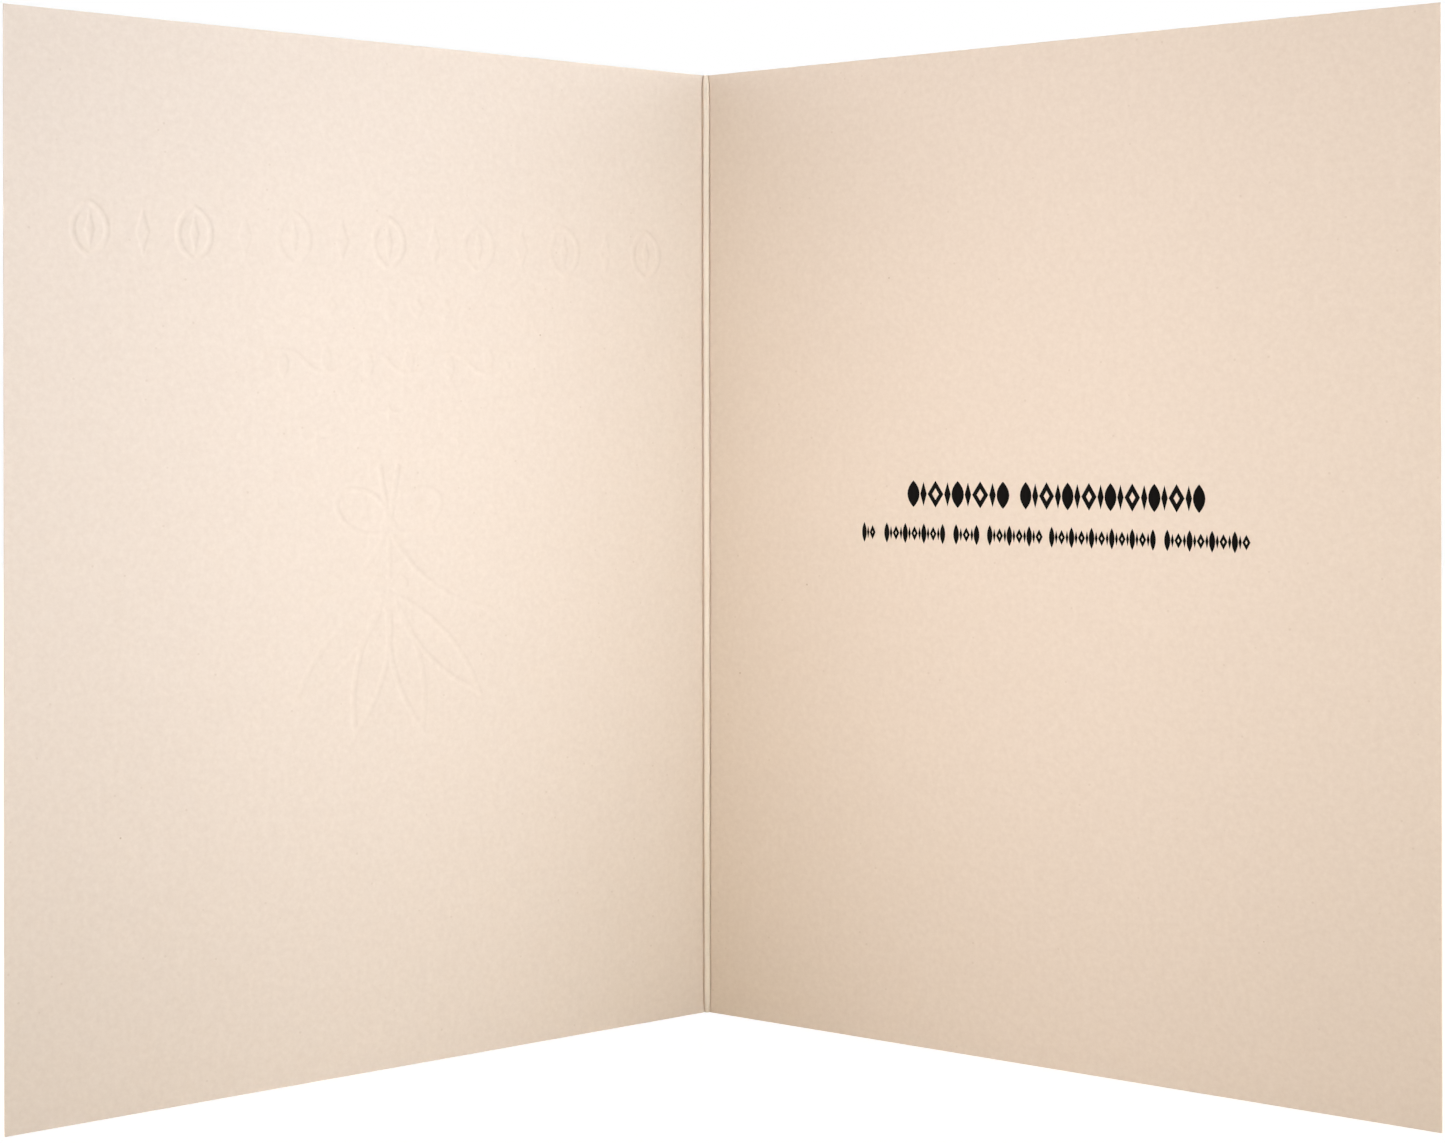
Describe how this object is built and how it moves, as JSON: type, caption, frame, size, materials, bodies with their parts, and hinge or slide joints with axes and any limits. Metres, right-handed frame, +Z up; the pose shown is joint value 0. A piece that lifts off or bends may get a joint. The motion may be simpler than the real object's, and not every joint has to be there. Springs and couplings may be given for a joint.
{
  "type": "greeting card",
  "caption": "Folded greeting card of plain ivory board, standing open on its foot, with a creased fold and a blind-embossed ornament on its cover.",
  "frame": {"origin": "middle of the board at the foot of the fold, in the plane that the card stands on", "axes": "+Z up along the fold, the card opens towards -Y, the front cover is the leaf on the -X side and the back leaf the one on the +X side"},
  "size_m": [0.2262, 0.0582, 0.178],
  "materials": {
    "card_board": "uncoated, matt"
  },
  "bodies": {
    "root": {"folded_card": "card_board"}
  },
  "joints": []
}
